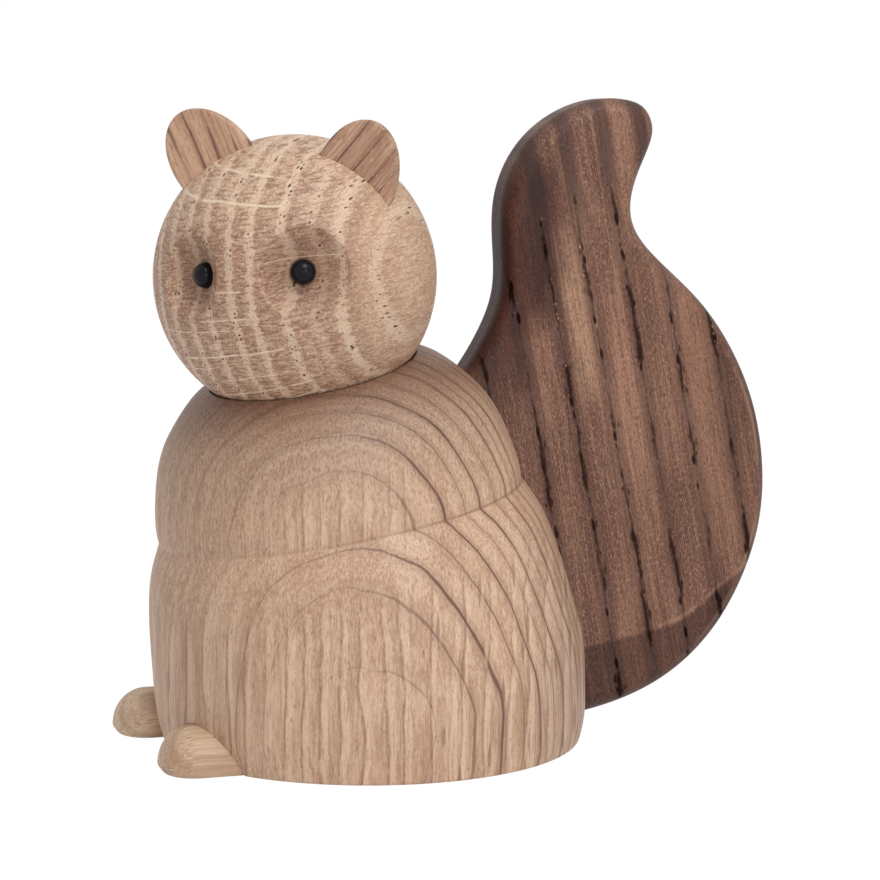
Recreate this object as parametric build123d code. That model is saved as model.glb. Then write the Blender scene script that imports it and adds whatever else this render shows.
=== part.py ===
# A wooden squirrel ornament that sits on a desk and looks to its left.
# It is turned from oak, with a sawn tail of smoked oak.
# Frame: +Z up, the body faces -Y, its left side is +X, and the origin is on the flat base
# where the body's turning axis meets it. All lengths are in millimetres.
import os
from math import sqrt

from build123d import *

# Body: a turned form of two lobes, leaning forward over its level base.
body_radius = 28.8
groove_height = 31.2
groove_radius = 24.1
crown_height = 51.15
crown_radius = 11.4
body_lean = 10.3
base_edge_round = 0.5

# Head: a ball that turns on an upright dowel and rests in a dish in the body's crown.
head_diameter = 36.2
head_height = 61.45
head_forward = 12.5
head_aside = 4.1
head_turn = 53.5
dish_gap = 0.25

# Face: two hand-scooped eye hollows with the snout left standing between them.
# Each has its own angle to the head's left, rise, width and depth.
hollow_turn_angles = {"eye_left": 26.5, "eye_right": -25.8}
hollow_rise_angles = {"eye_left": 4.8, "eye_right": 2.2}
hollow_widths = {"eye_left": 11.4, "eye_right": 10.2}
hollow_depths = {"eye_left": 3.0, "eye_right": 2.8}
hollow_rim_round = 0.35

# Eyes: black beads glued into drilled sockets in the hollows.
eye_diameter = 3.2
eye_turn_angles = {"eye_left": 26.1, "eye_right": -22.6}
eye_rise_angles = {"eye_left": 5.3, "eye_right": 3.0}
eye_sink = 2.5

# Ears: thin ovals let into round-bottomed slots. Each oval's middle lies near the ball's surface
# at its own angles and depth, and the oval leans outward.
ear_length = 15.4
ear_width = 10.4
ear_thickness = 2.0
ear_edge_round = 0.4
ear_pair_turn = 12.0
ear_turn_angles = {"ear_left": 51.8, "ear_right": -64.0}
ear_rise_angles = {"ear_left": 47.4, "ear_right": 54.6}
ear_sinks = {"ear_left": 1.24, "ear_right": 0.35}
ear_lean_angles = {"ear_left": 18.2, "ear_right": -38.0}

# Neck dowel: glued into the head, free to turn in the body.
neck_dowel_diameter = 8.0
neck_dowel_length = 26.0
neck_dowel_in_head = 12.0
neck_dowel_chamfer = 0.6
running_clearance = 0.06
dowel_end_gap = 0.4

# Feet: half-round pegs with blunt domed toes, let into sockets in the foot of the body.
# The toes stand out past the body's greatest radius.
foot_radius = 5.75
foot_length = 16.0
toe_round = 4.4
foot_edge_round = 0.8
foot_spreads = {"foot_left": 11.3, "foot_right": -12.3}
toe_overhangs = {"foot_left": 3.4, "foot_right": 4.9}

# Tail: a thick board with soft edges, coped to the body's back.
tail_thickness = 8.0
tail_edge_round = 2.5
tail_height = 83.2
tail_lift = 1.0
tail_root = 18.0
tail_reach = 36.2

# Tail dowels: two pins through the glued face between the body and the tail.
tail_dowel_diameter = 4.0
tail_dowel_length = 18.0
tail_dowel_chamfer = 0.4
tail_dowel_centre = 24.5
tail_dowel_heights = (12.5, 27.0)

# A line of glue between glued pieces, and how far a cutter runs past the wood.
glue_gap = 0.05
overrun = 5.0

# Turned outline of the lower lobe, from under the base up to the groove:
# height as a share of groove_height, radius as a share of body_radius.
lower_lobe_shares = (
    (-0.42, 0.60),
    (-0.255, 0.80),
    (-0.150, 0.890),
    (-0.045, 0.940),
    (0.10, 0.970),
    (0.27, 0.992),
    (0.46, 0.978),
    (0.64, 0.955),
    (0.77, 0.931),
    (0.88, 0.898),
    (0.95, 0.864),
)

# Turned outline of the upper lobe, from the groove up to the flat of the crown:
# height as a share of the way up, radius as a share of groove_radius.
upper_lobe_shares = (
    (0.08, 1.003),
    (0.25, 0.983),
    (0.42, 0.948),
    (0.62, 0.878),
    (0.76, 0.790),
    (0.90, 0.675),
)

# Tail outline, as (share of tail_reach behind tail_root, share of tail_height above tail_lift),
# up the front edge, over the tip, down the hollow of the back edge and round underneath.
tail_edge_shares = (
    (-0.240, 0.550),
    (-0.105, 0.640),
    (-0.060, 0.695),
    (-0.058, 0.775),
    (-0.052, 0.845),
    (0.030, 0.926),
    (0.155, 0.974),
    (0.325, 1.000),
    (0.435, 0.998),
    (0.484, 0.990),
    (0.517, 0.972),
    (0.528, 0.949),
    (0.516, 0.927),
    (0.460, 0.868),
    (0.448, 0.810),
    (0.560, 0.742),
    (0.722, 0.676),
    (0.852, 0.598),
    (0.939, 0.513),
    (0.983, 0.420),
    (0.977, 0.314),
    (0.905, 0.216),
    (0.786, 0.132),
    (0.598, 0.061),
    (0.300, 0.013),
    (0.050, 0.000),
)

# The most that the tail's edges can be rounded, as a share of tail_thickness.
tail_full_round_share = 0.48

# The tail's front corner before coping: its depth as a share of body_radius from tail_root,
# and its height as a share of tail_height.
tail_corner_depth_share = 0.45
tail_corner_height_share = 0.14


def leaning(shape):
    """Tip a shape that was made upright forward onto the body's axis."""
    return Rot(body_lean, 0, 0) * shape


def turned_blank(extra=0.0):
    """The turned body before its base, dish and sockets are cut, with some extra all round."""
    groove = (groove_radius + extra, groove_height)
    crown = (crown_radius, crown_height + extra)
    lower = [
        (radius * body_radius + extra, height * groove_height)
        for height, radius in lower_lobe_shares
    ]
    upper = [
        (radius * groove_radius + extra, groove_height + height * (crown_height - groove_height))
        for height, radius in upper_lobe_shares
    ]
    bottom = lower[0]
    outline = Spline(lower + [groove]) + Spline([groove] + upper + [crown])
    outline += Polyline(crown, (0, crown_height + extra), (0, bottom[1]), bottom)
    return leaning(revolve(Plane.XZ * make_face(outline), Axis.Z))


def head_centre():
    """The middle of the head ball."""
    return Vector(head_aside, -head_forward, head_height)


def neck_dowel_top():
    """Height of the dowel's upper end inside the head."""
    return head_height - head_diameter / 2 + neck_dowel_in_head


def neck_dowel():
    """The upright dowel that the head turns on."""
    dowel = Cylinder(neck_dowel_diameter / 2, neck_dowel_length)
    dowel = chamfer(dowel.edges().filter_by(GeomType.CIRCLE), neck_dowel_chamfer)
    middle = neck_dowel_top() - neck_dowel_length / 2
    return Pos(head_aside, -head_forward, middle) * dowel


def neck_bore():
    """The dowel's running bore in the body, open at the dish."""
    depth = neck_dowel_length + dowel_end_gap
    bore = Cylinder(neck_dowel_diameter / 2 + running_clearance, depth)
    return Pos(head_aside, -head_forward, neck_dowel_top() - depth / 2) * bore


def foot(name, extra=0.0):
    """A round peg with a domed toe, with some extra all round for its socket."""
    peg = Cylinder(foot_radius + extra, foot_length + 2 * extra)
    toe = peg.edges().filter_by(GeomType.CIRCLE).sort_by(Axis.Z)[-1]
    peg = Rot(90, 0, 0) * fillet(toe, toe_round)
    reach = body_radius + toe_overhangs[name]
    return Pos(foot_spreads[name], foot_length / 2 - reach, 0) * peg


def above_floor(shape):
    """Cut a shape off level at the base."""
    size = 2 * (body_radius + tail_reach + crown_height)
    return shape - Box(size, size, size, align=(Align.CENTER, Align.CENTER, Align.MAX))


def foot_piece(name):
    """One foot, with its flat sole and a softened edge round the sole."""
    piece = above_floor(foot(name))
    sole = piece.faces().sort_by(Axis.Z)[0]
    back = sole.edges().sort_by(Axis.Y)[-1]
    return fillet([edge for edge in sole.edges() if edge != back], foot_edge_round)


def tail_dowel(height, extra=0.0):
    """A pin along Y across the joint, with some extra all round for its hole."""
    pin = Cylinder(tail_dowel_diameter / 2 + extra, tail_dowel_length + 2 * extra)
    if not extra:
        pin = chamfer(pin.edges().filter_by(GeomType.CIRCLE), tail_dowel_chamfer)
    return Pos(0, tail_dowel_centre, height) * Rot(90, 0, 0) * pin


def body():
    """The body: turned, cut level at the base, dished for the head and bored for its pieces."""
    piece = above_floor(turned_blank())
    base = piece.faces().sort_by(Axis.Z)[0]
    piece = fillet(base.edges(), base_edge_round)
    piece -= Pos(head_centre()) * Sphere(head_diameter / 2 + dish_gap)
    piece -= neck_bore()
    for name in foot_spreads:
        piece -= foot(name, glue_gap)
    for height in tail_dowel_heights:
        piece -= tail_dowel(height, glue_gap)
    return piece


def facing(angle, rise):
    """A place whose -Y axis points out of the head at an angle to its left and upward."""
    return Rot(0, 0, angle) * Rot(-rise, 0, 0)


def under_surface(turn, rise, depth):
    """A place at some depth under the head ball's surface, with -Y pointing out of the head."""
    return facing(turn, rise) * Pos(0, depth - head_diameter / 2, 0)


def eye_hollow(name):
    """The ball that scoops one eye hollow out of the head."""
    half = hollow_widths[name] / 2
    depth = hollow_depths[name]
    radius = head_diameter / 2
    sag = depth - (radius - sqrt(radius**2 - half**2))
    scoop = (half**2 + sag**2) / (2 * sag)
    return under_surface(hollow_turn_angles[name], hollow_rise_angles[name], depth - scoop) * Sphere(scoop)


def eye_place(name):
    """Where one bead's middle lies, with -Y pointing out of the head."""
    return under_surface(eye_turn_angles[name], eye_rise_angles[name], eye_sink)


def eye_socket(name):
    """The drilled socket that holds the back half of a bead."""
    radius = eye_diameter / 2 + glue_gap
    drill = Cylinder(radius, overrun, align=(Align.CENTER, Align.CENTER, Align.MIN))
    return eye_place(name) * (Rot(90, 0, 0) * drill + Sphere(radius))


def ear(name, extra=0.0):
    """One oval ear, with some extra all round for its slot."""
    oval = Ellipse(ear_width / 2 + extra, ear_length / 2 + extra)
    leaf = extrude(Plane.XZ * oval, ear_thickness / 2 + extra, both=True)
    if not extra:
        leaf = fillet(leaf.edges(), ear_edge_round)
    middle = under_surface(ear_turn_angles[name], ear_rise_angles[name], ear_sinks[name]).position
    return Rot(0, 0, ear_pair_turn) * Pos(middle) * Rot(0, ear_lean_angles[name], 0) * leaf


def head():
    """The head ball with its face, ear slots and dowel bore, facing -Y about its own middle."""
    ball = Sphere(head_diameter / 2)
    for name in hollow_turn_angles:
        ball -= eye_hollow(name)
    rims = [edge for edge in ball.edges() if edge.geom_type == GeomType.CIRCLE]
    ball = fillet(rims, hollow_rim_round)
    for name in eye_turn_angles:
        ball -= eye_socket(name)
    for name in ear_turn_angles:
        ball -= ear(name, glue_gap)
    return ball


def on_neck(shape):
    """Turn a shape made about the head's middle to the side and set it on the neck."""
    return Pos(head_centre()) * Rot(0, 0, head_turn) * shape


def neck_dowel_hole():
    """The blind hole in the head that the dowel is glued into."""
    depth = neck_dowel_in_head + glue_gap
    hole = Cylinder(
        neck_dowel_diameter / 2 + glue_gap,
        depth + overrun,
        align=(Align.CENTER, Align.CENTER, Align.MAX),
    )
    return Pos(head_aside, -head_forward, neck_dowel_top() + glue_gap) * hole


def tail_board():
    """The tail's outline sawn from a board, with square edges."""
    edge = [
        (tail_root + back * tail_reach, tail_lift + up * tail_height)
        for back, up in tail_edge_shares
    ]
    front = tail_root - tail_corner_depth_share * body_radius
    low = tail_lift + tail_corner_height_share * tail_height
    start = edge[0]
    end = edge[-1]
    outline = Spline(edge) + Polyline(end, (front, low), (front, start[1]), start)
    return extrude(Plane.YZ.offset(-tail_thickness / 2) * make_face(outline), tail_thickness)


def tail():
    """The tail with its edges eased, coped to the body's back and drilled for its dowels."""
    board = tail_board()
    sawn = board.edges().filter_by(GeomType.BSPLINE)
    board = fillet(sawn, min(tail_edge_round, tail_full_round_share * tail_thickness))
    board -= turned_blank(glue_gap)
    for height in tail_dowel_heights:
        board -= tail_dowel(height, glue_gap)
    return board


def named_pieces():
    """Every piece at rest, under its node's name."""
    pieces = {"body": body(), "head": on_neck(head()) - neck_dowel_hole()}
    for name in ear_turn_angles:
        pieces[name] = on_neck(ear(name))
    for name in eye_turn_angles:
        pieces[name] = on_neck(eye_place(name) * Sphere(eye_diameter / 2))
    for name in foot_spreads:
        pieces[name] = foot_piece(name)
    pieces["neck_dowel"] = neck_dowel()
    pieces["tail"] = tail()
    for word, height in zip(("lower", "upper"), tail_dowel_heights):
        pieces["tail_dowel_" + word] = tail_dowel(height)
    return pieces


os.makedirs("parts", exist_ok=True)
for node, piece in named_pieces().items():
    solids = piece.solids()
    export_step(solids[0] if len(solids) == 1 else Compound(solids), f"parts/{node}.step")
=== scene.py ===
"""Looks for a turned oak squirrel with a smoked oak tail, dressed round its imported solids."""

import math

import bmesh
import bpy
from mathutils import Matrix, Vector

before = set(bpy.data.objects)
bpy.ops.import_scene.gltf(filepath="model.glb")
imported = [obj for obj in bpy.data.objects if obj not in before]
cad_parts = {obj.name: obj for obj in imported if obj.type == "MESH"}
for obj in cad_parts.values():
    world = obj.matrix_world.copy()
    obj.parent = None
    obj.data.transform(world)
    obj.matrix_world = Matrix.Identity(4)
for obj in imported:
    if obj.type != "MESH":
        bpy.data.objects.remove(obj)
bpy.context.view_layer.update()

MM = 0.001
NUMBER = "NodeSocketFloat"
VECTOR = "NodeSocketVector"

# Below, angles are in degrees and lengths in millimetres, unless a comment says otherwise.
# An azimuth of 0 faces -Y and one of 90 faces +X.

# The body: the side its rings face, how its fibres and its turning axis lean, and how far along
# that axis the groove lies.
BODY_RINGS_FACE = 74.5
BODY_FIBRE_SLOPE = 0.1
BODY_LEAN = 10.3
BODY_AXIS = (0, -math.sin(math.radians(BODY_LEAN)), math.cos(math.radians(BODY_LEAN)))
GROOVE_HEIGHT = 31.2

# The head: the middle of the ball, the way its fibres run, and how its rings roll round them.
HEAD_CENTRE = (4.1, -12.5, 61.45)
HEAD_FACES = 47.26
HEAD_FIBRE_RISE = -10.34
HEAD_ROLL = 4.11

# How far from each bead the painted shade in its hollow starts to fade, and where it ends.
HOLLOW_SHADE_FROM = 2.0
HOLLOW_SHADE_TO = 8.5

# The thin rays that cross the face: how high each lies above the middle of the head, its half
# thickness, and where it starts and ends across the rings.
HEAD_RAYS = (
    (15.4, 0.15, -7.2, 5.8),
    (12.3, 0.20, -12.0, 7.5),
    (5.4, 0.13, 5.1, 13.2),
    (2.2, 0.17, -3.1, 3.0),
    (-1.3, 0.15, -4.3, 3.0),
    (-2.65, 0.10, -11.0, -0.3),
    (-5.9, 0.15, -8.4, 6.9),
    (-7.4, 0.10, -14.8, -4.0),
    (-9.3, 0.13, -3.9, 6.2),
    (-11.4, 0.15, -5.4, 7.8),
    (-13.2, 0.14, -0.7, 7.9),
)
RAY_FADE = 1.0
RAY_FAN = 0.0108

# The ears: the azimuth that both face, and how the fibres of each lean.
EARS_FACE = 65.5
EAR_LEFT_LEAN = 40
EAR_RIGHT_LEAN = -23

# The tail: the lean of its fibres, where its chains of pores give way to the tip's stripes, and
# how thin a chain's line gets.
TAIL_LEAN = 10.6
TIP_START = 62.0
TIP_FULL = 69.0
CHAIN_LEAST = 0.05

# The surround's light on the object, the floor and its glow, which is a little above 1 so that
# the lit floor is as white as the surround behind it. The radius is in metres.
SURROUND_LIGHT = 0.52
FLOOR_RADIUS = 3.0
FLOOR_SIDES = 96
FLOOR_WHITENESS = 0.9
FLOOR_GLOW = 1.09
FLOOR_PAINT = (0.9, 0.9, 0.9, 1)
WHITE = (1, 1, 1, 1)

# The lamps: azimuth, rise, width, height and power. Their lengths are in metres, power in watts.
LAMP_TARGET = (0, 0, 0.04)
LAMP_DISTANCE = 0.8
LAMPS = {
    "key_lamp": (100, 56, 0.40, 0.40, 3.0),
    "strip_lamp": (102, 12, 0.12, 0.55, 0.85),
    "eye_lamp": (80, 5, 0.05, 0.05, 0.22),
}

# The photograph's camera.
CAMERA_TARGET = (0, 8.12, 39.30)
CAMERA_AZIMUTH = 72.87
CAMERA_RISE = 6.67
CAMERA_DISTANCE = 347.8
CAMERA_LENS = 107.4
CAMERA_SENSOR = 36


# Colours are written as they look on a screen and turned into light values.
def tint(red, green, blue):
    """A screen colour from 0 to 255 as the light values that a shader takes."""
    steps = [channel / 255 for channel in (red, green, blue)]
    light = [s / 12.92 if s <= 0.04045 else ((s + 0.055) / 1.055) ** 2.4 for s in steps]
    return (*light, 1.0)


# Small helpers that place nodes.
def fill(tree, node, inputs):
    """Links or sets the inputs of a node."""
    for key, value in inputs.items():
        if isinstance(value, bpy.types.NodeSocket):
            tree.links.new(value, node.inputs[key])
        else:
            node.inputs[key].default_value = value
    return node


def place_node(tree, kind, inputs=None, **settings):
    """A node with its settings made and its inputs filled or linked."""
    node = tree.nodes.new(kind)
    for key, value in settings.items():
        setattr(node, key, value)
    return fill(tree, node, inputs or {})


def maths(tree, operation, first, second=0.0):
    """The result of one Math node."""
    return place_node(tree, "ShaderNodeMath", {0: first, 1: second}, operation=operation).outputs[0]


def times(tree, first, second):
    """One value times another."""
    return maths(tree, "MULTIPLY", first, second)


def plus(tree, first, second):
    """One value plus another."""
    return maths(tree, "ADD", first, second)


def minus(tree, first, second):
    """One value less another."""
    return maths(tree, "SUBTRACT", first, second)


def rest_of(tree, value):
    """What a value lacks to 1."""
    return minus(tree, 1.0, value)


def larger(tree, first, second):
    """The larger of two values."""
    return maths(tree, "MAXIMUM", first, second)


def unsigned(tree, value):
    """A value without its sign."""
    return maths(tree, "ABSOLUTE", value)


def ramp(tree, value, low, high, start=0.0, end=1.0):
    """A value eased from start to end while it goes from low to high."""
    inputs = {"Value": value, 1: low, 2: high, 3: start, 4: end}
    node = place_node(tree, "ShaderNodeMapRange", inputs, interpolation_type="SMOOTHSTEP")
    return node.outputs[0]


def fading(tree, value, low, high):
    """1 up to low, easing to 0 at high."""
    return ramp(tree, value, low, high, 1.0, 0.0)


def near(tree, offset, width):
    """1 on a line and 0 from a width away on."""
    return fading(tree, unsigned(tree, offset), times(tree, width, 0.35), width)


def object_place(tree):
    """The place on the object, which its grain moves with."""
    return place_node(tree, "ShaderNodeTexCoord").outputs["Object"]


def parts_of(tree, place):
    """The X, Y and Z of a place."""
    return place_node(tree, "ShaderNodeSeparateXYZ", {0: place}).outputs


def joined(tree, first, second, third):
    """A place made of three values."""
    return place_node(tree, "ShaderNodeCombineXYZ", {0: first, 1: second, 2: third}).outputs[0]


def stretched(tree, place, scale):
    """The place with each of its axes scaled by its own number."""
    inputs = {0: place, 1: scale}
    return place_node(tree, "ShaderNodeVectorMath", inputs, operation="MULTIPLY").outputs[0]


def noise(tree, place, scale, detail=2.0, roughness=0.5):
    """Cloudy noise on a stretched place."""
    inputs = {
        "Vector": stretched(tree, place, scale),
        "Scale": 1.0,
        "Detail": detail,
        "Roughness": roughness,
    }
    return place_node(tree, "ShaderNodeTexNoise", inputs).outputs["Fac"]


def chance(tree, number):
    """A value from 0 to 1 that each number keeps."""
    node = place_node(tree, "ShaderNodeTexWhiteNoise", {"W": number}, noise_dimensions="1D")
    return node.outputs["Value"]


def centred(tree, value, size):
    """A noise from 0 to 1 as a value about zero."""
    return times(tree, minus(tree, value, 0.5), size)


def mixed(tree, share, first, second):
    """Two colours mixed by a share."""
    node = place_node(tree, "ShaderNodeMix", data_type="RGBA")
    return fill(tree, node, {0: share, 6: first, 7: second}).outputs[2]


def painted(tree, colour, coats):
    """A colour with coats laid over it, each a mask, a strength and a tint."""
    for mask, strength, coat in coats:
        colour = mixed(tree, times(tree, mask, strength), colour, tint(*coat))
    return colour


def shaded(tree, colour, shades):
    """A colour darkened by shades, each a mask and a tint that the colour is multiplied by."""
    for mask, shade in shades:
        node = place_node(tree, "ShaderNodeMix", data_type="RGBA", blend_type="MULTIPLY")
        colour = fill(tree, node, {0: mask, 6: colour, 7: tint(*shade)}).outputs[2]
    return colour


def new_group(name, inputs, outputs):
    """An empty node group with named inputs and number outputs."""
    group = bpy.data.node_groups.new(name, "ShaderNodeTree")
    for label, kind in inputs:
        group.interface.new_socket(label, in_out="INPUT", socket_type=kind)
    for label in outputs:
        group.interface.new_socket(label, in_out="OUTPUT", socket_type=NUMBER)
    return group


def use(tree, group, **values):
    """Outputs of a group placed in a tree. Its inputs are given in lower case."""
    node = place_node(tree, "ShaderNodeGroup", node_tree=group)
    return fill(tree, node, {key.title(): value for key, value in values.items()}).outputs


# Every group reads a place in the axes of a log: X across the growth rings, Y across the rays
# and Z along the fibres.
def rings_group():
    """How far a place is from the nearest line between two growth rings, and that line's own tone."""
    inputs = [
        ("Place", VECTOR),
        ("Spacing", NUMBER),
        ("Start", NUMBER),
        ("Uneven", NUMBER),
        ("Waver", NUMBER),
    ]
    tree = new_group("growth_rings", inputs, ["Offset", "Tone", "Odd"])
    given = place_node(tree, "NodeGroupInput").outputs
    place = given["Place"]
    slow = centred(tree, noise(tree, place, (0.10, 0.13, 0.06)), 1.6)
    quick = centred(tree, noise(tree, place, (0.9, 0.9, 0.2)), 0.18)
    waver = times(tree, plus(tree, slow, quick), given["Waver"])
    across = minus(tree, plus(tree, parts_of(tree, place)["X"], waver), given["Start"])
    count = maths(tree, "DIVIDE", across, given["Spacing"])
    number = maths(tree, "ROUND", count)
    shift = times(tree, centred(tree, chance(tree, number), 1.0), given["Uneven"])
    offset = minus(tree, times(tree, minus(tree, count, number), given["Spacing"]), shift)
    tone = chance(tree, plus(tree, number, 0.37))
    odd = unsigned(tree, maths(tree, "MODULO", number, 2.0))
    place_node(tree, "NodeGroupOutput", {"Offset": offset, "Tone": tone, "Odd": odd})
    return tree


def pores_group():
    """Open pores: small dots across the fibres and long dashes along them."""
    inputs = [("Place", VECTOR), ("Gap", NUMBER), ("Run", NUMBER), ("Size", NUMBER)]
    tree = new_group("open_pores", inputs, ["Pores"])
    given = place_node(tree, "NodeGroupInput").outputs
    gap = maths(tree, "DIVIDE", 1.0, given["Gap"])
    run = maths(tree, "DIVIDE", 1.0, given["Run"])
    spot = {"Vector": stretched(tree, given["Place"], joined(tree, gap, gap, run)), "Scale": 1.0}
    found = place_node(tree, "ShaderNodeTexVoronoi", spot).outputs
    own = place_node(tree, "ShaderNodeSeparateColor", {0: found["Color"]}).outputs[0]
    size = times(tree, given["Size"], ramp(tree, own, 0.2, 1.0))
    pores = fading(tree, found["Distance"], times(tree, size, 0.5), size)
    place_node(tree, "NodeGroupOutput", {"Pores": pores})
    return tree


def fibres_group():
    """The grain itself: streaks, flecks along the rays, broad plates and clouds, and fine grit."""
    tree = new_group("wood_grain", [("Place", VECTOR)], ["Streak", "Fleck", "Plate", "Cloud", "Grit"])
    place = place_node(tree, "NodeGroupInput").outputs["Place"]
    out = {
        "Streak": noise(tree, place, (3.4, 3.4, 0.10), 4.0, 0.65),
        "Fleck": noise(tree, place, (3.4, 4.2, 1.2), 3.0, 0.65),
        "Plate": noise(tree, place, (0.55, 3.2, 0.5), 4.0, 0.65),
        "Cloud": noise(tree, place, (0.22, 0.22, 0.05), 3.0),
        "Grit": noise(tree, place, (6.5, 6.5, 2.2), 2.0, 0.6),
    }
    place_node(tree, "NodeGroupOutput", out)
    return tree


def rays_group():
    """Medullary rays: thin spindles that stand along the fibres and run far across the rings."""
    inputs = [("Place", VECTOR), ("Gap", NUMBER), ("Height", NUMBER), ("Size", NUMBER)]
    tree = new_group("ray_spindles", inputs, ["Rays", "Beside"])
    given = place_node(tree, "NodeGroupInput").outputs
    gap = maths(tree, "DIVIDE", 1.0, given["Gap"])
    height = maths(tree, "DIVIDE", 1.0, given["Height"])
    place = stretched(tree, given["Place"], joined(tree, 0.08, gap, height))
    found = place_node(tree, "ShaderNodeTexVoronoi", {"Vector": place, "Scale": 1.0}).outputs
    inputs = {0: place, 1: found["Position"]}
    away = place_node(tree, "ShaderNodeVectorMath", inputs, operation="SUBTRACT").outputs[0]
    away = parts_of(tree, away)
    along = fading(tree, unsigned(tree, away["Z"]), 0.0, 0.3)
    thick = times(tree, given["Size"], along)
    rays = fading(tree, unsigned(tree, away["Y"]), times(tree, thick, 0.4), thick)
    aside = unsigned(tree, minus(tree, away["Y"], given["Size"]))
    beside = times(tree, fading(tree, aside, 0.0, given["Size"]), along)
    place_node(tree, "NodeGroupOutput", {"Rays": rays, "Beside": beside})
    return tree


growth_rings = rings_group()
open_pores = pores_group()
wood_grain = fibres_group()
ray_spindles = rays_group()


# The axes of each piece's log.
def level(azimuth):
    """The level direction that faces an azimuth."""
    turn = math.radians(azimuth)
    return Vector((math.sin(turn), -math.cos(turn), 0))


def direction(azimuth, rise):
    """The direction towards an azimuth and a height above level."""
    up = math.radians(rise)
    return level(azimuth) * math.cos(up) + Vector((0, 0, math.sin(up)))


def log_axes(fibre, across):
    """Rows across the rings, across the rays and along the fibres."""
    fibre = fibre.normalized()
    across = (across - fibre * across.dot(fibre)).normalized()
    return Matrix((across, fibre.cross(across), fibre))


def leaning_axes(azimuth, lean):
    """Fibres in the upright plane that faces an azimuth, leaning to that face's right."""
    side = level(azimuth + 90)
    turn = math.radians(lean)
    fibre = side * math.sin(turn) + Vector((0, 0, math.cos(turn)))
    across = side * math.cos(turn) - Vector((0, 0, math.sin(turn)))
    return log_axes(fibre, across)


def log_place(tree, axes, centre):
    """The place in a log's own axes, from its centre."""
    inputs = {
        "Vector": object_place(tree),
        "Location": -(axes @ Vector(centre)),
        "Rotation": axes.to_euler("XYZ"),
        "Scale": (1 / MM, 1 / MM, 1 / MM),
    }
    return place_node(tree, "ShaderNodeMapping", inputs, vector_type="POINT").outputs[0]


def along_body(tree):
    """How far up the body's leaning axis a place lies."""
    inputs = {0: object_place(tree), 1: BODY_AXIS}
    node = place_node(tree, "ShaderNodeVectorMath", inputs, operation="DOT_PRODUCT")
    return times(tree, node.outputs["Value"], 1 / MM)


def hollow_shade_mask(tree):
    """The mask of the painted shade in the eye hollows: 1 round each bead, fading out at the rim of its
    hollow.
    """
    place = object_place(tree)
    both = None
    for name in ("eye_left", "eye_right"):
        corners = [Vector(corner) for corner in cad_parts[name].bound_box]
        bead = sum(corners, Vector()) / len(corners)
        inputs = {0: place, 1: bead}
        away = place_node(tree, "ShaderNodeVectorMath", inputs, operation="DISTANCE").outputs["Value"]
        one = fading(tree, away, HOLLOW_SHADE_FROM * MM, HOLLOW_SHADE_TO * MM)
        both = one if both is None else larger(tree, both, one)
    return both


# The finishes.
def new_material(name, axes, centre):
    """A material with its node tree and the place that its grain reads."""
    material = bpy.data.materials.new(name)
    material.use_nodes = True
    tree = material.node_tree
    return material, tree, log_place(tree, axes, centre)


def finish_wood(tree, colour, rough, height, depth, gloss=0.5):
    """Colour, sheen and relief of a sanded and oiled surface."""
    bump = {"Strength": 1.0, "Distance": depth * MM, "Height": height}
    bump = place_node(tree, "ShaderNodeBump", bump).outputs[0]
    look = {"Base Color": colour, "Roughness": rough, "Specular IOR Level": gloss, "Normal": bump}
    fill(tree, tree.nodes["Principled BSDF"], look)


def body_rings(tree, place, whole, patches):
    """The body's ring lines and a soft dark band along each, bold on one side of the body."""
    ring = use(tree, growth_rings, place=place, spacing=2.2, start=0.7, uneven=0.5, waver=0.7)
    side = plus(tree, whole["Y"], centred(tree, patches, 14.0))
    bold = ramp(tree, side, -8.0, 8.0, 0.40, 1.0)
    weight = times(tree, bold, ramp(tree, ring["Odd"], 0.0, 1.0, 1.0, 0.65))
    weight = times(tree, weight, ramp(tree, whole["X"], 25.5, 27.5, 1.0, 0.25))
    weight = times(tree, weight, ramp(tree, whole["X"], -28.5, -26.5, 0.1, 1.0))
    width = times(tree, ramp(tree, patches, 0.3, 0.7, 0.10, 0.22), weight)
    line = times(tree, near(tree, ring["Offset"], width), weight)
    soft = times(tree, near(tree, ring["Offset"], 0.7), weight)
    return line, soft


def body_walls(tree, whole, up):
    """Where the wall below the groove is, and where rows of pores show on both walls."""
    low = fading(tree, up, 20.0, 28.0)
    high = times(tree, ramp(tree, up, 31.0, 32.0), ramp(tree, up, 36.0, 43.0, 0.8, 0.0))
    high = times(tree, high, near(tree, plus(tree, whole["Y"], 4.0), 16.0))
    return low, larger(tree, larger(tree, low, high), 0.15)


def body_rows(tree, whole, wall):
    """Upright rows of pores on the walls, each a dark row with a pale one beside it."""
    turned = joined(tree, whole["Y"], whole["X"], whole["Z"])
    row = use(tree, growth_rings, place=turned, spacing=2.5, start=0.4, uneven=1.3, waver=2.0)
    dark = times(tree, near(tree, row["Offset"], 0.24), ramp(tree, row["Tone"], 0.0, 0.8, 0.3, 1.0))
    pale = near(tree, minus(tree, row["Offset"], 0.6), 0.6)
    return times(tree, dark, wall), times(tree, pale, wall)


def body_arcs(tree, place, grain, up):
    """Thin arcs of pale dashes near the neck."""
    arc = use(tree, growth_rings, place=place, spacing=0.95, start=0.2, uneven=0.4, waver=1.4)
    arcs = times(tree, near(tree, arc["Offset"], 0.42), ramp(tree, grain["Fleck"], 0.44, 0.54))
    return times(tree, arcs, ramp(tree, up, 35.0, 43.0))


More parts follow.
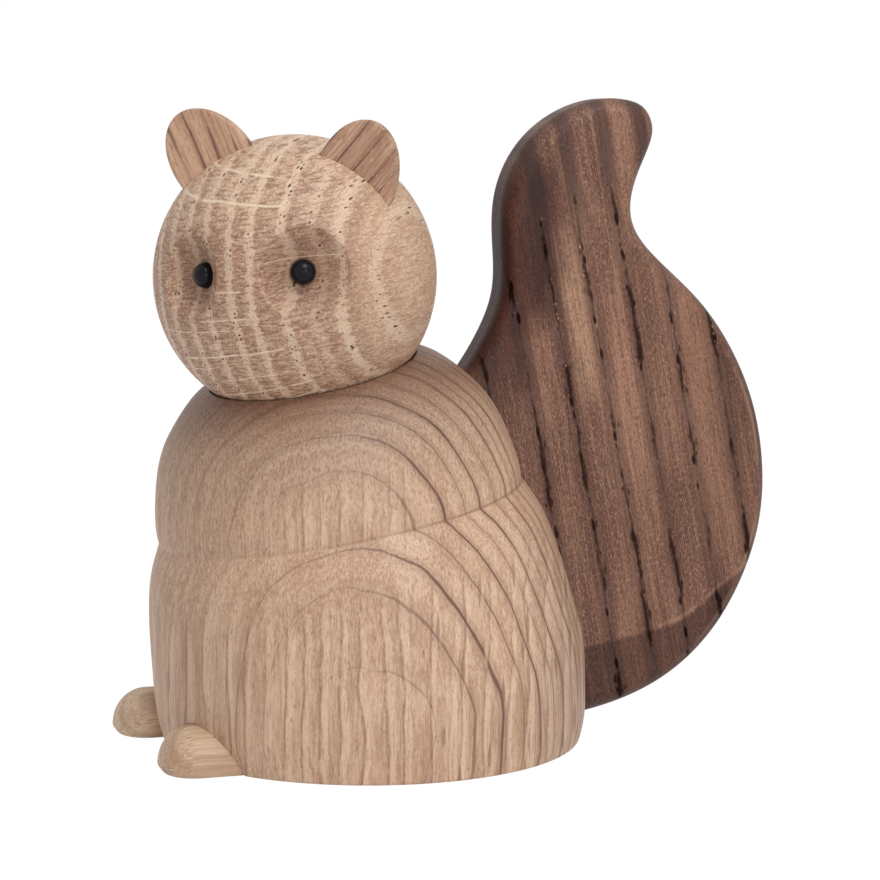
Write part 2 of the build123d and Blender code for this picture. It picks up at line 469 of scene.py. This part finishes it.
def body_oak():
    """Pale oak: rings that arch over the lobes, bold on one side and faint on the other."""
    facing = level(BODY_RINGS_FACE)
    axes = log_axes(Vector((0, 0, 1)) + facing * BODY_FIBRE_SLOPE, facing)
    material, tree, place = new_material("body_oak", axes, (0, 0, 0))
    whole = parts_of(tree, place)
    up = along_body(tree)
    grain = use(tree, wood_grain, place=place)
    line, soft = body_rings(tree, place, whole, noise(tree, place, (0.16, 0.16, 0.06), 2.0))
    low_wall, wall = body_walls(tree, whole, up)
    dark_row, pale_row = body_rows(tree, whole, wall)
    calm = rest_of(tree, times(tree, wall, 0.45))
    pores = use(tree, open_pores, place=place, gap=0.6, run=1.7, size=0.25)["Pores"]
    spindles = use(tree, ray_spindles, place=place, gap=4.0, height=9.0, size=0.09)
    rayed = times(tree, ramp(tree, whole["Y"], 2.0, 8.0), low_wall)
    # Painted shade along the groove between the lobes, fainter on the left side.
    groove = near(tree, minus(tree, up, GROOVE_HEIGHT), 0.26)
    groove = times(tree, groove, ramp(tree, whole["Y"], -20.0, 16.0, 0.1, 1.0))
    colour = mixed(tree, ramp(tree, grain["Cloud"], 0.35, 0.65), tint(184, 147, 119), tint(206, 171, 143))
    coats = [
        (pale_row, 0.60, (222, 192, 165)),
        (dark_row, 0.68, (146, 107, 84)),
        (ramp(tree, grain["Streak"], 0.52, 0.62), 0.45, (150, 110, 86)),
        (ramp(tree, grain["Streak"], 0.48, 0.38), 0.45, (222, 192, 164)),
        (times(tree, ramp(tree, grain["Fleck"], 0.54, 0.64), calm), 0.40, (226, 198, 170)),
        (times(tree, ramp(tree, grain["Fleck"], 0.46, 0.36), calm), 0.40, (138, 98, 76)),
        (times(tree, ramp(tree, grain["Grit"], 0.54, 0.64), calm), 0.32, (130, 90, 68)),
        (times(tree, ramp(tree, grain["Grit"], 0.46, 0.36), calm), 0.32, (230, 202, 176)),
        (body_arcs(tree, place, grain, up), 0.55, (226, 198, 172)),
        (soft, 0.38, (146, 106, 84)),
        (pores, 0.50, (118, 80, 62)),
        (line, 0.92, (104, 66, 51)),
        (times(tree, spindles["Beside"], rayed), 0.45, (226, 198, 170)),
        (times(tree, spindles["Rays"], rayed), 0.60, (130, 90, 70)),
        # Painted shade in the groove.
        (groove, 0.5, (118, 80, 62)),
    ]
    # Painted shade: the body darker on its left and right sides, towards its top under the head, and
    # along the seam just below the head.
    shades = [
        (ramp(tree, whole["Y"], -8.0, -20.0), (246, 244, 242)),
        (ramp(tree, whole["Y"], 16.0, 27.0), (226, 222, 220)),
        (ramp(tree, plus(tree, up, centred(tree, grain["Cloud"], 8.0)), 31.0, 51.0), (188, 178, 171)),
        (ramp(tree, up, 43.0, 50.0), (218, 203, 196)),
    ]
    colour = shaded(tree, painted(tree, colour, coats), shades)
    dents = times(tree, plus(tree, times(tree, pores, 0.6), line), -1.0)
    height = plus(tree, dents, times(tree, grain["Streak"], 0.5))
    height = plus(tree, height, times(tree, pale_row, 0.8))
    rough = ramp(tree, grain["Streak"], 0.3, 0.7, 0.46, 0.58)
    finish_wood(tree, colour, rough, height, 0.03)
    return material


def face_rays(tree, place, axes, grain):
    """The thin rays across the face, which fan out a little and break up here and there."""
    fan = rest_of(tree, times(tree, axes["X"], RAY_FAN))
    above_middle = plus(tree, maths(tree, "DIVIDE", axes["Y"], fan), centred(tree, grain["Cloud"], 0.5))
    rays = None
    for rise, thick, first, last in HEAD_RAYS:
        ray = near(tree, minus(tree, above_middle, rise), thick)
        ray = times(tree, ray, ramp(tree, axes["X"], first - RAY_FADE, first + RAY_FADE))
        ray = times(tree, ray, fading(tree, axes["X"], last - RAY_FADE, last + RAY_FADE))
        rays = ray if rays is None else larger(tree, rays, ray)
    broken = noise(tree, place, (0.5, 0.7, 0.1), 2.0)
    return times(tree, rays, ramp(tree, broken, 0.36, 0.48, 0.3, 1.0))


def head_oak():
    """The head's oak, with end grain on the face: pale bands of pores crossed by thin rays."""
    turn = math.radians(HEAD_FACES)
    fibre = direction(HEAD_FACES, HEAD_FIBRE_RISE)
    side = Vector((math.cos(turn), math.sin(turn), 0))
    across = Matrix.Rotation(math.radians(HEAD_ROLL), 3, fibre) @ side
    material, tree, place = new_material("head_oak", log_axes(fibre, across), HEAD_CENTRE)
    axes = parts_of(tree, place)
    grain = use(tree, wood_grain, place=place)
    ring = use(tree, growth_rings, place=place, spacing=3.08, start=0.9, uneven=0.7, waver=1.0)
    plain = ramp(tree, axes["X"], 16.3, 17.5, 1.0, 0.15)
    ragged = centred(tree, noise(tree, place, (1.1, 2.0, 0.5), 4.0, 0.7), 2.2)
    band = fading(tree, unsigned(tree, plus(tree, ring["Offset"], ragged)), 0.35, 0.62)
    band = times(tree, times(tree, band, ramp(tree, ring["Tone"], 0.1, 0.9, 0.5, 1.0)), plain)
    late = times(tree, near(tree, minus(tree, ring["Offset"], 1.0), 0.9), plain)
    clusters = ramp(tree, noise(tree, place, (0.3, 0.16, 0.1), 1.0), 0.36, 0.50)
    large = use(tree, open_pores, place=place, gap=0.44, run=3.5, size=0.50)["Pores"]
    middle = near(tree, plus(tree, ring["Offset"], times(tree, ragged, 0.3)), 0.55)
    large = times(tree, times(tree, large, middle), times(tree, clusters, plain))
    small = use(tree, open_pores, place=place, gap=0.42, run=2.0, size=0.36)["Pores"]
    crackle = noise(tree, place, (0.75, 3.4, 0.6), 3.0, 0.6)
    tan = ramp(tree, axes["X"], 9.0, 15.5)
    # Painted light: the top of the head is made lighter where the light from above falls.
    lit_top = ramp(tree, axes["Y"], 7.0, 16.0)
    face = rest_of(tree, times(tree, tan, 0.6))
    gaps = times(tree, rest_of(tree, times(tree, band, 0.6)), face)
    colour = mixed(tree, tan, tint(170, 130, 105), tint(192, 156, 128))
    colour = mixed(tree, lit_top, colour, tint(212, 179, 151))
    coats = [
        (ramp(tree, grain["Cloud"], 0.5, 0.65), 0.35, (150, 110, 86)),
        (late, 0.48, (144, 104, 80)),
        (band, 0.75, (226, 198, 171)),
        (times(tree, ramp(tree, crackle, 0.53, 0.57), gaps), 0.70, (126, 86, 65)),
        (times(tree, ramp(tree, crackle, 0.47, 0.42), gaps), 0.50, (214, 182, 154)),
        (ramp(tree, grain["Streak"], 0.54, 0.66), 0.40, (156, 116, 88)),
        (ramp(tree, grain["Streak"], 0.46, 0.36), 0.40, (228, 200, 172)),
        (ramp(tree, grain["Fleck"], 0.56, 0.66), 0.50, (232, 206, 180)),
        (ramp(tree, grain["Fleck"], 0.44, 0.34), 0.45, (132, 92, 70)),
        (ramp(tree, grain["Grit"], 0.54, 0.64), 0.25, (126, 86, 66)),
        (ramp(tree, grain["Grit"], 0.46, 0.36), 0.25, (232, 206, 180)),
        (small, 0.30, (130, 90, 70)),
        (large, 0.92, (60, 38, 29)),
        (face_rays(tree, place, axes, grain), 0.75, (236, 212, 184)),
    ]
    colour = painted(tree, colour, coats)
    # Painted shade in the eye hollows round the beads.
    colour = shaded(tree, colour, [(hollow_shade_mask(tree), (212, 201, 194))])
    dents = times(tree, plus(tree, large, times(tree, small, 0.2)), -1.0)
    height = plus(tree, dents, times(tree, crackle, 0.7))
    rough = ramp(tree, grain["Plate"], 0.3, 0.7, 0.5, 0.62)
    finish_wood(tree, colour, rough, height, 0.04, ramp(tree, large, 0.0, 1.0, 0.5, 0.0))
    return material


def ear_oak(name, axes, dark, light):
    """Thin sawn oak with a few dark ring lines along the fibres."""
    material, tree, place = new_material(name, axes, HEAD_CENTRE)
    grain = use(tree, wood_grain, place=place)
    ring = use(tree, growth_rings, place=place, spacing=2.2, start=0.4, uneven=0.9, waver=1.0)
    width = ramp(tree, noise(tree, place, (0.2, 0.2, 0.12)), 0.40, 0.62, 0.05, 0.30)
    line = near(tree, ring["Offset"], width)
    line = times(tree, line, ramp(tree, ring["Tone"], 0.2, 0.9, 0.3, 1.0))
    soft = near(tree, ring["Offset"], 0.7)
    pores = use(tree, open_pores, place=place, gap=0.5, run=2.4, size=0.32)["Pores"]
    colour = mixed(tree, ramp(tree, grain["Cloud"], 0.35, 0.65), tint(*dark), tint(*light))
    coats = [
        (soft, 0.30, (130, 90, 70)),
        (ramp(tree, grain["Streak"], 0.52, 0.64), 0.50, (134, 94, 73)),
        (ramp(tree, grain["Streak"], 0.48, 0.36), 0.45, (204, 170, 142)),
        (ramp(tree, grain["Fleck"], 0.56, 0.66), 0.40, (208, 176, 148)),
        (ramp(tree, grain["Fleck"], 0.44, 0.34), 0.35, (118, 80, 62)),
        (pores, 0.5, (104, 68, 52)),
        (line, 0.8, (92, 57, 44)),
    ]
    colour = painted(tree, colour, coats)
    height = plus(tree, times(tree, line, -1.0), times(tree, grain["Streak"], 0.5))
    rough = ramp(tree, grain["Streak"], 0.3, 0.7, 0.52, 0.64)
    finish_wood(tree, colour, rough, height, 0.03)
    return material


def foot_oak(name, dark, light):
    """Pale oak with its fibres running level from heel to toe."""
    axes = log_axes(Vector((0, -1, 0)), direction(70, 50))
    material, tree, place = new_material(name, axes, (0, 0, 0))
    grain = use(tree, wood_grain, place=place)
    ring = use(tree, growth_rings, place=place, spacing=2.1, start=0.6, uneven=0.7, waver=1.2)
    soft = near(tree, ring["Offset"], 0.6)
    pores = use(tree, open_pores, place=place, gap=0.6, run=3.0, size=0.28)["Pores"]
    colour = mixed(tree, ramp(tree, grain["Cloud"], 0.3, 0.7), tint(*dark), tint(*light))
    coats = [
        (ramp(tree, grain["Streak"], 0.52, 0.64), 0.5, (150, 113, 88)),
        (ramp(tree, grain["Streak"], 0.48, 0.36), 0.4, (226, 204, 176)),
        (ramp(tree, grain["Fleck"], 0.58, 0.72), 0.3, (228, 206, 180)),
        (soft, 0.35, (150, 112, 86)),
        (pores, 0.35, (130, 94, 70)),
    ]
    colour = painted(tree, colour, coats)
    height = plus(tree, times(tree, pores, -1.0), times(tree, grain["Streak"], 0.5))
    rough = ramp(tree, grain["Streak"], 0.3, 0.7, 0.46, 0.58)
    finish_wood(tree, colour, rough, height, 0.03)
    return material


def tail_chains(tree, place, offset, runs, crisp):
    """A chain of pores along each ring: a thin line, a bold broken line and the pores round it."""
    strong = times(tree, ramp(tree, runs, 0.44, 0.60), crisp)
    width = plus(tree, times(tree, strong, 0.62), CHAIN_LEAST)
    line = times(tree, fading(tree, unsigned(tree, offset), CHAIN_LEAST, width), strong)
    thin = times(tree, near(tree, offset, 0.24), ramp(tree, runs, 0.34, 0.46))
    pores = use(tree, open_pores, place=place, gap=0.75, run=2.2, size=0.60)["Pores"]
    pores = times(tree, pores, near(tree, offset, plus(tree, times(tree, strong, 0.7), 0.4)))
    return times(tree, thin, crisp), line, times(tree, pores, crisp)


def tail_dots(tree, place, whole, offset, crisp):
    """Pale dots in the rings, fewer of them low down."""
    dots = use(tree, open_pores, place=place, gap=0.65, run=1.3, size=0.28)["Pores"]
    dots = times(tree, times(tree, dots, near(tree, offset, 0.7)), crisp)
    return times(tree, dots, ramp(tree, whole["Z"], 36.0, 46.0, 0.25, 1.0))


def front_edge_shade(tree, place, whole):
    """Painted shade along the tail's rounded front edge, with a patchy border."""
    patchy = centred(tree, noise(tree, place, (0.12, 0.12, 0.10), 2.0), 9.0)
    past = minus(tree, whole["X"], ramp(tree, whole["Z"], 46.0, 58.0, 27.0, 35.5))
    front = fading(tree, plus(tree, past, patchy), -3.0, 3.0)
    front = times(tree, front, ramp(tree, whole["Z"], 34.0, 50.0))
    return times(tree, front, ramp(tree, whole["Z"], 68.0, 75.0, 1.0, 0.3))


def tail_foot(tree, whole, ragged, runs):
    """Painted shade on the tail's lower rounded edge, and the pale line along its upper border."""
    border = plus(tree, ramp(tree, whole["X"], 41.0, 55.0, 5.8, 11.0), times(tree, ragged, 0.5))
    above = minus(tree, whole["Z"], border)
    brink = near(tree, minus(tree, above, 0.5), 0.45)
    brink = times(tree, brink, ramp(tree, whole["X"], 36.0, 44.0))
    return fading(tree, above, -0.4, 0.4), times(tree, brink, ramp(tree, runs, 0.36, 0.54))


def pale_stripe(tree, whole):
    """A pale stripe up the middle of the tail."""
    stripe = near(tree, minus(tree, whole["X"], 35.8), 2.4)
    return times(tree, stripe, near(tree, minus(tree, whole["Z"], 48.0), 13.0))


def edge_highlight(tree, whole, flank, runs):
    """A painted highlight: a pale line along the tail's lower back edge."""
    pale_glint = near(tree, minus(tree, flank, 3.7), 0.2)
    pale_glint = times(tree, pale_glint, ramp(tree, whole["X"], 40.0, 46.0))
    pale_glint = times(tree, pale_glint, fading(tree, whole["Z"], 34.0, 44.0))
    return times(tree, pale_glint, ramp(tree, runs, 0.36, 0.50))


def smoked_oak():
    """Smoked oak: brown wood with near-black chains of pores along each ring."""
    turn = math.radians(TAIL_LEAN)
    fibre = Vector((0, -math.sin(turn), math.cos(turn)))
    material, tree, place = new_material("smoked_oak", log_axes(fibre, Vector((0, 1, 0))), (0, 0, 0))
    whole = parts_of(tree, place)
    flank = unsigned(tree, whole["Y"])
    grain = use(tree, wood_grain, place=place)
    ring = use(tree, growth_rings, place=place, spacing=5.34, start=0.7, uneven=0.5, waver=0.8)
    ragged = centred(tree, noise(tree, place, (1.4, 1.4, 0.6), 4.0, 0.7), 0.9)
    runs = noise(tree, place, (0.25, 0.30, 0.12), 3.0, 0.6)
    crisp = times(
        tree,
        fading(tree, whole["Z"], TIP_START, TIP_FULL),
        ramp(tree, flank, 2.2, 3.6, 0.2, 1.0),
    )
    thin, line, chain = tail_chains(tree, place, plus(tree, ring["Offset"], ragged), runs, crisp)
    tip_stripe = near(tree, plus(tree, ring["Offset"], times(tree, ragged, 0.6)), 1.5)
    tip_stripe = times(tree, tip_stripe, ramp(tree, whole["Z"], TIP_START, TIP_FULL))
    small = use(tree, open_pores, place=place, gap=0.4, run=1.6, size=0.34)["Pores"]
    # Painted shade on the tail's lower rounded edge, with a pale line along its border.
    bottom_shade, brink = tail_foot(tree, whole, ragged, runs)
    broad = noise(tree, place, (0.16, 0.10, 0.03), 2.0)
    colour = mixed(tree, ramp(tree, broad, 0.36, 0.64), tint(104, 69, 56), tint(150, 109, 88))
    coats = [
        (pale_stripe(tree, whole), 0.55, (190, 150, 120)),
        (ramp(tree, grain["Streak"], 0.50, 0.62), 0.45, (84, 52, 42)),
        (ramp(tree, grain["Streak"], 0.50, 0.38), 0.32, (172, 130, 104)),
        (ramp(tree, grain["Fleck"], 0.54, 0.66), 0.30, (176, 136, 110)),
        (ramp(tree, grain["Fleck"], 0.46, 0.36), 0.40, (62, 38, 31)),
        (ramp(tree, grain["Grit"], 0.54, 0.64), 0.48, (58, 34, 27)),
        (ramp(tree, grain["Grit"], 0.46, 0.36), 0.42, (190, 150, 122)),
        (small, 0.35, (56, 34, 28)),
        (near(tree, ring["Offset"], 1.7), 0.42, (72, 44, 36)),
        (fading(tree, flank, 2.4, 3.9), 0.45, (78, 58, 52)),
        (tip_stripe, 0.50, (58, 38, 35)),
        # Painted highlight along the lower back edge.
        (edge_highlight(tree, whole, flank, runs), 0.6, (178, 142, 118)),
        (brink, 0.55, (164, 124, 100)),
        (thin, 0.55, (48, 30, 26)),
        (line, 0.82, (38, 24, 21)),
        (chain, 0.90, (34, 21, 18)),
        (tail_dots(tree, place, whole, ring["Offset"], crisp), 0.75, (190, 150, 126)),
    ]
    # Painted shade along the front edge and on the lower rounded edge; the last shade darkens the tail
    # towards its back.
    shades = [
        (front_edge_shade(tree, place, whole), (146, 116, 108)),
        (bottom_shade, (180, 168, 166)),
        (ramp(tree, whole["X"], 45.0, 56.0), (222, 216, 214)),
    ]
    colour = shaded(tree, painted(tree, colour, coats), shades)
    holes = larger(tree, line, chain)
    height = plus(tree, times(tree, holes, -1.0), times(tree, grain["Streak"], 0.6))
    rough = ramp(tree, grain["Streak"], 0.3, 0.7, 0.46, 0.60)
    finish_wood(tree, colour, rough, height, 0.05, ramp(tree, holes, 0.0, 1.0, 0.28, 0.02))
    return material


def dowel_wood():
    """Pale beech-like dowel with fine upright grain."""
    material, tree, place = new_material("dowel_wood", log_axes(Vector((0, 0, 1)), level(20)), (0, 0, 0))
    grain = use(tree, wood_grain, place=place)
    colour = mixed(tree, ramp(tree, grain["Cloud"], 0.3, 0.7), tint(206, 178, 142), tint(224, 198, 162))
    coats = [
        (ramp(tree, grain["Streak"], 0.52, 0.72), 0.4, (184, 150, 114)),
        (ramp(tree, grain["Fleck"], 0.58, 0.72), 0.3, (236, 214, 182)),
    ]
    colour = painted(tree, colour, coats)
    rough = ramp(tree, grain["Streak"], 0.3, 0.7, 0.5, 0.62)
    finish_wood(tree, colour, rough, grain["Streak"], 0.02)
    return material


def bead_black():
    """Glossy black with a faint blue bloom."""
    material, tree, place = new_material("bead_black", log_axes(Vector((0, 0, 1)), level(0)), (0, 0, 0))
    cloud = noise(tree, place, (0.9, 0.9, 0.9))
    colour = mixed(tree, cloud, tint(8, 7, 8), tint(18, 18, 24))
    rough = ramp(tree, cloud, 0.3, 0.7, 0.14, 0.22)
    shine = {"Base Color": colour, "Roughness": rough, "Specular IOR Level": 0.17}
    fill(tree, tree.nodes["Principled BSDF"], shine)
    return material


def dress_nodes():
    """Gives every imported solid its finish."""
    left_axes = leaning_axes(EARS_FACE, EAR_LEFT_LEAN)
    right_axes = leaning_axes(EARS_FACE, EAR_RIGHT_LEAN)
    woods = {
        "body": body_oak(),
        "head": head_oak(),
        "ear_left": ear_oak("ear_left_oak", left_axes, (154, 114, 90), (182, 143, 116)),
        "ear_right": ear_oak("ear_right_oak", right_axes, (168, 128, 102), (198, 160, 132)),
        # Both feet are the same oak; the far foot's lighter tints are painted light that offsets the
        # shade it stands in.
        "foot_left": foot_oak("foot_left_oak", (172, 137, 108), (200, 170, 142)),
        "foot_right": foot_oak("foot_right_oak_painted_light", (196, 162, 132), (224, 196, 168)),
        "tail": smoked_oak(),
        "neck_dowel": dowel_wood(),
        "eye_left": bead_black(),
    }
    woods["eye_right"] = woods["eye_left"]
    woods["tail_dowel_lower"] = woods["neck_dowel"]
    woods["tail_dowel_upper"] = woods["neck_dowel"]
    for node, wood in woods.items():
        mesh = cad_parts[node].data
        mesh.materials.clear()
        mesh.materials.append(wood)


# The studio: a white floor, a white surround and soft lamps.
def seen_directly(tree):
    """1 for rays from the camera and for those that metal and glass send out, else 0."""
    path = place_node(tree, "ShaderNodeLightPath").outputs
    either = larger(tree, path["Is Camera Ray"], path["Is Glossy Ray"])
    return larger(tree, either, path["Is Transmission Ray"])


def white_surround():
    """A world that looks white and lights the object evenly."""
    world = bpy.data.worlds.new("studio")
    bpy.context.scene.world = world
    world.use_nodes = True
    tree = world.node_tree
    strength = ramp(tree, seen_directly(tree), 0.0, 1.0, SURROUND_LIGHT, 1.0)
    fill(tree, tree.nodes["Background"], {"Color": WHITE, "Strength": strength})


def pale_floor():
    """A round floor that looks white but keeps a faint shadow."""
    shape = bmesh.new()
    bmesh.ops.create_circle(shape, cap_ends=True, segments=FLOOR_SIDES, radius=FLOOR_RADIUS)
    mesh = bpy.data.meshes.new("floor")
    shape.to_mesh(mesh)
    shape.free()
    floor = bpy.data.objects.new("floor", mesh)
    bpy.context.scene.collection.objects.link(floor)
    material = bpy.data.materials.new("floor_paint")
    material.use_nodes = True
    tree = material.node_tree
    tree.nodes.remove(tree.nodes["Principled BSDF"])
    paint = place_node(tree, "ShaderNodeBsdfDiffuse", {"Color": FLOOR_PAINT}).outputs[0]
    glow = place_node(tree, "ShaderNodeEmission", {"Color": WHITE, "Strength": FLOOR_GLOW}).outputs[0]
    share = times(tree, seen_directly(tree), FLOOR_WHITENESS)
    mix = place_node(tree, "ShaderNodeMixShader", {0: share, 1: paint, 2: glow})
    fill(tree, tree.nodes["Material Output"], {"Surface": mix.outputs[0]})
    mesh.materials.append(material)


def soft_lamp(name, azimuth, rise, width, height, power):
    """A rectangular lamp that faces the object."""
    data = bpy.data.lights.new(name, "AREA")
    data.shape = "RECTANGLE"
    data.size = width
    data.size_y = height
    data.energy = power
    lamp = bpy.data.objects.new(name, data)
    bpy.context.scene.collection.objects.link(lamp)
    way = direction(azimuth, rise)
    lamp.location = Vector(LAMP_TARGET) + way * LAMP_DISTANCE
    lamp.rotation_euler = way.to_track_quat("Z", "Y").to_euler()


def studio_camera():
    """A camera at the photograph's place."""
    data = bpy.data.cameras.new("camera")
    data.lens = CAMERA_LENS
    data.sensor_width = CAMERA_SENSOR
    camera = bpy.data.objects.new("camera", data)
    bpy.context.scene.collection.objects.link(camera)
    target = Vector(CAMERA_TARGET) * MM
    camera.location = target + direction(CAMERA_AZIMUTH, CAMERA_RISE) * CAMERA_DISTANCE * MM
    camera.rotation_euler = (camera.location - target).to_track_quat("Z", "Y").to_euler()
    bpy.context.scene.camera = camera


dress_nodes()
white_surround()
pale_floor()
for lamp_name, lamp_facts in LAMPS.items():
    soft_lamp(lamp_name, *lamp_facts)
studio_camera()

bpy.context.scene.view_settings.view_transform = "Standard"
